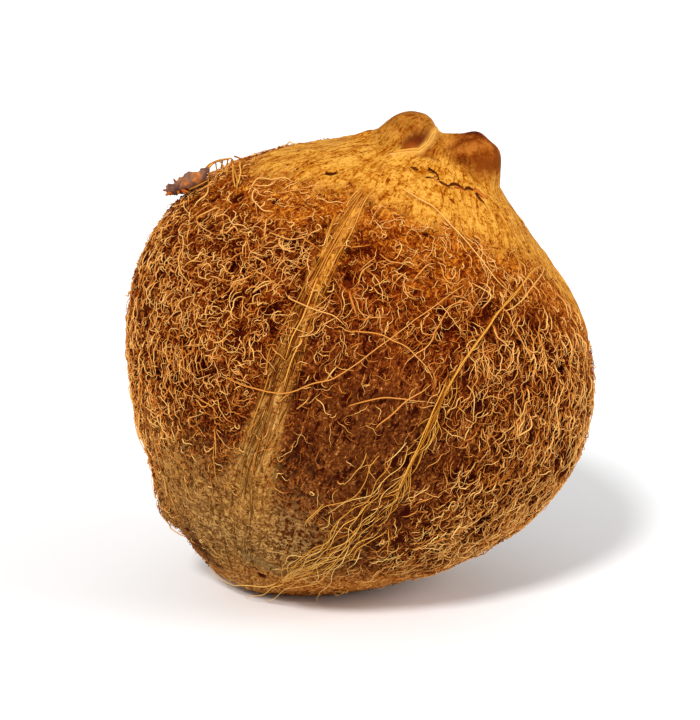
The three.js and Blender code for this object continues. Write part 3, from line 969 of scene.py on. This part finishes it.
def spline(stops, steps):
    """Points along a smooth curve through the stops, evenly spaced by stop number."""
    padded = np.concatenate([2 * stops[:1] - stops[1:2], stops, 2 * stops[-1:] - stops[-2:-1]])
    at = np.linspace(0, len(stops) - 1, steps)
    start = np.minimum(at.astype(int), len(stops) - 2)
    t = (at - start)[:, None]
    a, b, c, d = (padded[start + offset] for offset in range(4))
    return 0.5 * (2 * b + (c - a) * t + (2 * a - 5 * b + 4 * c - d) * t**2 + (3 * b - a - 3 * c + d) * t**3)


def routed(route, steps, rng, wander=0.4, shift=0.0, lift=0.5, gather=False):
    """The centreline of a strand through a route, shifted to one side and wandering a little.

    A strand that gathers has lost its shift by the route's end.
    """
    stops = np.array([front(*stop[:2]) for stop in route]) * MEAN_RADIUS
    lifts = [stop[2] if len(stop) > 2 else lift for stop in route]
    if len(route[0]) < 3:
        lifts[0] = -ROOT_DEPTH
    if len(route[-1]) < 3 and not gather:
        lifts[-1] = -ROOT_DEPTH
    places = spline(stops, steps)
    run = unit(np.gradient(places, axis=0))
    across = unit(np.cross(run, places))
    wave = noise(places + rng.uniform(0, 99, 3), 4.5, 31) * wander
    fading = 1 - np.linspace(0, 1, steps) ** 2 if gather else 1
    places += across * ((wave + shift) * fading)[:, None]
    outward = unit(places)
    rise = spline(np.array(lifts)[:, None], steps)[:, 0]
    return place(outward, skin_base(outward) + rise), outward


def make_strands(name, strands, material):
    """One piece of strands, each (centreline, outward, width, tone), with the same number of steps."""
    centres, outward, widths, tones = (np.array(values) for values in zip(*strands))
    return fibre_piece(name, centres, tapered(widths, centres.shape[1], 0.45), outward, tones, material)


STRAND_STEPS = 36
# How many strands run along each gathered root, the bundle, its top and its tip, and how many branch off.
GATHERED_STRANDS = 5
BUNDLE_STRANDS = 12
TOP_STRANDS = 3
TIP_STRANDS = 2
BRANCHES = 34


def drawn(rng, value):
    """A value given as (least, most) drawn at random, or a number as it is."""
    return rng.uniform(*value) if isinstance(value, tuple) else value


def strand(rng, route, width, tone, steps=STRAND_STEPS, **course):
    """A strand along a route. Its width and tone are each a number or (least, most)."""
    return (*routed(route, steps, rng, **course), drawn(rng, width), drawn(rng, tone))


def loose_strand(rng, route, wander, shift, lift, width, tone):
    """A strand beside a route, which joins it by the end."""
    course = dict(wander=wander, shift=rng.normal(0, shift), lift=rng.uniform(*lift), gather=True)
    return strand(rng, route, width, tone, **course)


def make_placed(name, seed, material, lines, tone, **course):
    """One piece of strands along lines, each a width and a route."""
    rng = np.random.default_rng(SEED + seed)
    return make_strands(name, [strand(rng, route, width, tone, **course) for width, route in lines], material)


def make_bundle(material):
    """The golden bundle, the roots that run from it to the lower left, and the knot where they gather."""
    rng = np.random.default_rng(SEED + 60)
    strands = [strand(rng, route, (0.22, 0.32), (0.7, 1.1), wander=1.0) for route in ROOTS]
    for route in GATHERED:
        for number in range(GATHERED_STRANDS):
            part = route[rng.integers(0, len(route) - 2):]
            strands.append(loose_strand(rng, part, 2.4, 3.0, (0.1, 0.8), (0.16, 0.27), (0.4, 1.1)))
    for number in range(BUNDLE_STRANDS):
        strands.append(loose_strand(rng, BUNDLE, 0.55, 0.32, (0.0, 0.7), (0.24, 0.38), (0.14, 1.0)))
    for number in range(TOP_STRANDS):
        strands.append(loose_strand(rng, BUNDLE_TOP, 0.4, 0.2, (0.1, 0.6), (0.24, 0.34), (0.15, 0.65)))
    trunk = spline(np.array(BUNDLE_TOP[2:] + BUNDLE[4:], float), 40)
    for number in range(BRANCHES):
        right, above = trunk[rng.integers(4, 40)]
        out, drop = rng.uniform(0.5, 3.4), rng.uniform(3.5, 6)
        branch = [(right, above), (right - 0.6 * out, above - drop), (right - 2.2 * out, above - 2 * drop)]
        strands.append(strand(rng, branch, (0.18, 0.28), (0.4, 0.95), wander=1.4))
    for number in range(TIP_STRANDS):
        course = dict(wander=0.3, shift=rng.normal(0, 0.2), lift=0.7)
        strands.append(strand(rng, BUNDLE_TIP, (0.36, 0.46), (0.6, 0.8), **course))
    return make_strands("coir_bundle", strands, material)


# ---- Cracks and ridges in the bare husk ----

LINE_STEPS = 14


def skin_radius(ways):
    return form_radius(ways) + skin_relief(ways, zones(ways), marks(ways))


def make_lines(name, lines, count, lift, tones, material):
    """Narrow lines in or on the bare husk: each has a width and a route, and is drawn count times."""
    rng = np.random.default_rng(SEED + 80)
    strands = []
    for width, route in lines:
        for number in range(count):
            outward = routed(route, LINE_STEPS, rng, 0.5, rng.normal(0, 0.1))[1]
            places = place(outward, skin_radius(outward) + lift)
            strands.append((places, outward, width * rng.uniform(0.6, 1.1), rng.uniform(*tones)))
    return make_strands(name, strands, material)


# ---- The scrap of husk at the upper left ----

# Places along the scrap: right, above, how far off the skin, half its height and half its depth.
SCRAP = [
    (-41.3, 39.8, 3.2, 0.6, 0.8), (-40.5, 40.5, 2.8, 1.5, 1.5), (-39.6, 41.4, 2.4, 1.7, 1.8),
    (-38.2, 42.5, 2.2, 1.5, 2), (-36.7, 43.6, 2.3, 2, 2.1), (-35.2, 44.8, 2.3, 1.7, 1.7),
    (-34.1, 45.8, 2.3, 0.9, 0.9), (-33.4, 46.4, 2.4, 0.4, 0.4),
]
# Twigs and flakes that reach from the scrap to the bare husk, each with its width.
TWIGS = [
    (0.8, [(-34.8, 45.3, 2.2), (-33, 46.8, 2.6), (-31.5, 47.7, 2.8), (-29.9, 48.5, 2.9), (-28.3, 49.1, 3.2),
           (-27.3, 49.5, 3.4)]),
    (1.1, [(-35.2, 45, 2), (-33.4, 46.5, 2.2), (-31.8, 47.5, 2.7)]),
    (0.5, [(-34.9, 45.2, 1.2), (-32.9, 46.6, 1.2), (-30.7, 47.7, 1), (-29.3, 48.4, 0.2)]),
    (0.9, [(-27.5, 49.5, 3.1), (-28, 49.1, 1.2), (-27.8, 48.5, 0.8), (-27.4, 47.4, 0.6), (-27.3, 46, 0.2)]),
    (0.8, [(-27.8, 49.4, 2), (-28.3, 48.7, 0.9), (-28, 47.4, 0.5), (-27.9, 46.2, 0.2)]),
    (0.6, [(-26.5, 50.4, 1.2), (-26.7, 49.2, 0.6), (-27, 47, 0.3)]),
    (0.4, [(-31.4, 47.8, 2.6), (-32.1, 47.3, 0.8), (-32.6, 46.9, -0.3)]),
    (0.5, [(-29.9, 48.5, 2.8), (-31, 48, 1), (-31.7, 47.5, -0.3)]),
    (0.45, [(-28.5, 49.2, 3), (-29.6, 48.8, 1.1), (-29.8, 48.4, -0.3)]),
    (0.35, [(-30.6, 48.2, 2.8), (-30.2, 48.2, 1), (-30.4, 47.7, -0.3)]),
    (0.4, [(-33, 46.8, 2.4), (-33.8, 45.9, 1), (-34.3, 45.2, -0.3)]),
    (0.4, [(-38, 42.3, 1.4), (-35.3, 44.2, 1.2), (-33.8, 45.6, 0.6)]),
    (0.5, [(-27.2, 49.8, 3.2), (-26.4, 50.2, 2.4), (-25.8, 50.6, 1), (-25.5, 50.6, 0)]),
]
SCRAP_STEPS = 40
SCRAP_SIDES = 24
# The far ends of the teeth: right, above and how far off the skin.
TEETH = [
    (-41.9, 39.2, 4.2), (-42, 38.9, 3.2), (-41.7, 39.3, 2.4), (-41, 40, 1.8), (-40, 40.7, 1.6),
    (-38.9, 41.3, 1.2), (-38.2, 41.9, 1), (-41.2, 39.9, 4.6), (-39.6, 41.6, 4.4), (-38.2, 42.7, 4.2),
    (-36.6, 43.9, 4.3),
]
TOOTH_WIDTH = (0.9, 1.5)
SCRAP_TINTS = {0: 0x3c180e, 0.3: 0x5e3a2e, 0.6: 0x845a44, 0.78: 0xb86828, 1: 0xde9448}


def scrap_material():
    nodes = Nodes("husk_scrap")
    places = nodes.places()
    fine = nodes.texture(places, 1400, 4, 0.7)
    patches = nodes.texture(places, 330, 2, 0.5)
    tint = nodes.ramp(nodes.total(-0.75, (fine, 0.7), (patches, 1.8)), SCRAP_TINTS)
    return nodes.finish(tint, 0.7, 0.15, (fine, 1.0))


def make_scrap():
    """A ragged strip of husk that has come away from the nut, and stands a little off it."""
    stops = [(*(front(right, above) * MEAN_RADIUS), *size) for right, above, *size in SCRAP]
    line = spline(np.array(stops), SCRAP_STEPS)
    outward = unit(line[:, :3])
    centres = outward * (form_radius(outward) + line[:, 3])[:, None]
    across = unit(np.cross(np.gradient(centres, axis=0), outward))
    turns = np.linspace(0, 2 * math.pi, SCRAP_SIDES, endpoint=False)
    ring = np.cos(turns)[:, None] * across[:, None] * line[:, 5, None, None]
    ring = ring + np.sin(turns)[:, None] * outward[:, None] * line[:, 4, None, None]
    points = centres[:, None] + ring
    lumps = 1 + 0.4 * noise(points, 1.8, 41) + 0.35 * noise(points, 0.8, 42)
    points = (centres[:, None] + ring * lumps[..., None]).reshape(-1, 3) + np.array([0, 0, CENTRE_HEIGHT])
    index = np.arange(len(points)).reshape(SCRAP_STEPS, SCRAP_SIDES)
    after = np.roll(index, -1, axis=1)
    faces = np.stack([index[:-1], index[1:], after[1:], after[:-1]], -1).reshape(-1, 4)
    lines = [np.linspace(0.02, 0.96, number) for number in (SCRAP_STEPS, SCRAP_SIDES)]
    u, v = np.meshgrid(*lines, indexing="ij")
    uvs = np.stack([u, v], -1).reshape(-1, 2)[faces]
    uvs[:, 2:, 1] = np.where(uvs[:, 2:, 1] < uvs[:, :2, 1], uvs[:, 2:, 1] + 0.98, uvs[:, 2:, 1])
    return make_piece("husk_scrap", points, faces, scrap_material(), uvs.reshape(-1, 2))


# ---- Setting ----

# The photo's size and the place of the nut's centre in it, in pixels.
PHOTO_WIDTH, PHOTO_HEIGHT = 700, 720
CENTRE_ACROSS, CENTRE_DOWN = 353, 361
VIEW_DISTANCE = 600
VIEW_RISE = 13
LENS_LENGTH = 120
SENSOR_WIDTH = 36
CLIP_END = 20
FLOOR_REACH = 4.0
FLOOR_TINT = (0.92, 0.92, 0.92, 1)
STUDIO_LIGHT = 0.56
# Each soft light: the way to it, how wide it looks in degrees, and its strength.
SUNS = {
    "key": ((-0.35, -0.9, 0.86), 12, 2.65),
    "side": ((0.9, -0.35, 0.5), 30, 1.32),
    "rear": ((-0.3, 1.0, 0.7), 90, 0.25),
}


def link(name, data):
    holder = bpy.data.objects.new(name, data)
    bpy.context.scene.collection.objects.link(holder)
    return holder


def make_camera():
    lens = bpy.data.cameras.new("camera")
    lens.lens = LENS_LENGTH
    lens.sensor_width = SENSOR_WIDTH
    lens.sensor_fit = "AUTO"
    lens.clip_end = CLIP_END
    lens.dof.use_dof = False
    lens.shift_x = (PHOTO_WIDTH / 2 - CENTRE_ACROSS) / PHOTO_HEIGHT
    lens.shift_y = (CENTRE_DOWN - PHOTO_HEIGHT / 2) / PHOTO_HEIGHT
    rise = math.radians(VIEW_RISE)
    back = VIEW_DISTANCE * np.array([0, -math.cos(rise), math.sin(rise)])
    camera = link("camera", lens)
    camera.location = (np.array([0, 0, CENTRE_HEIGHT]) + back) * MM
    camera.rotation_euler = (math.pi / 2 - rise, 0, 0)
    bpy.context.scene.camera = camera


def make_floor():
    mesh = bpy.data.meshes.new("floor")
    corners = [(x * FLOOR_REACH, y * FLOOR_REACH, 0) for x, y in ((-1, -1), (1, -1), (1, 1), (-1, 1))]
    mesh.from_pydata(corners, [], [(0, 1, 2, 3)])
    mesh.materials.append(Nodes("floor").finish(FLOOR_TINT, 0.9, 0.5))
    floor = link("floor", mesh)


def make_lights():
    world = bpy.data.worlds.new("studio")
    world.use_nodes = True
    world.node_tree.nodes["Background"].inputs["Color"].default_value = (1, 1, 1, 1)
    world.node_tree.nodes["Background"].inputs["Strength"].default_value = STUDIO_LIGHT
    bpy.context.scene.world = world
    for name, ((across, back, up), spread, strength) in SUNS.items():
        light = bpy.data.lights.new(name, "SUN")
        light.angle = math.radians(spread)
        light.energy = strength
        tilt, turn = math.atan2(math.hypot(across, back), up), math.atan2(back, across)
        link(name, light).rotation_euler = (tilt, 0, turn + math.pi / 2)


# ---- The coconut ----

bpy.context.scene.view_settings.view_transform = "Standard"
make_camera()
make_floor()
make_lights()
make_nut()
coir, gold, seam, chip, crack = (fibre_material(name) for name in FIBRE_TINTS)
make_coir(coir)
make_seam_strands(seam)
make_placed("coir_strands", 50, coir, [(SINGLE_WIDTH, route) for route in SINGLES], (0.75, 1.0))
ribs = [(RIB_FINENESS * width, route) for width, route in RIBS]
make_placed("seam_ribs", 90, seam, ribs, (0.6, 1.0), wander=0.3, lift=0.1)
make_mat("coir_fan", 20, gold, **FAN)
make_bundle(gold)
make_lines("husk_cracks", CRACKS, 2, 0.1, (0.0, 0.25), crack)
make_lines("husk_raw", RAW, 2, 0.05, (0.35, 0.7), chip)
make_lines("husk_lip", [(0.7, LIP)], 1, 0.1, (0.7, 0.8), gold)
chips = [(CHIP_WIDTH, route) for route in CHIPS]
make_placed("husk_chips", 100, chip, chips, (0.7, 1.0), steps=12, wander=0.3, lift=0.9)
make_scrap()
teeth = [(TOOTH_WIDTH, [(0.3 * tip[0] - 27.5, 0.3 * tip[1] + 29.1, 2.4), tip]) for tip in TEETH]
make_placed("scrap_teeth", 70, chip, teeth, (0.0, 0.7), steps=12, wander=0.5)
make_placed("scrap_twigs", 75, gold, TWIGS, (0.35, 0.8), steps=24)
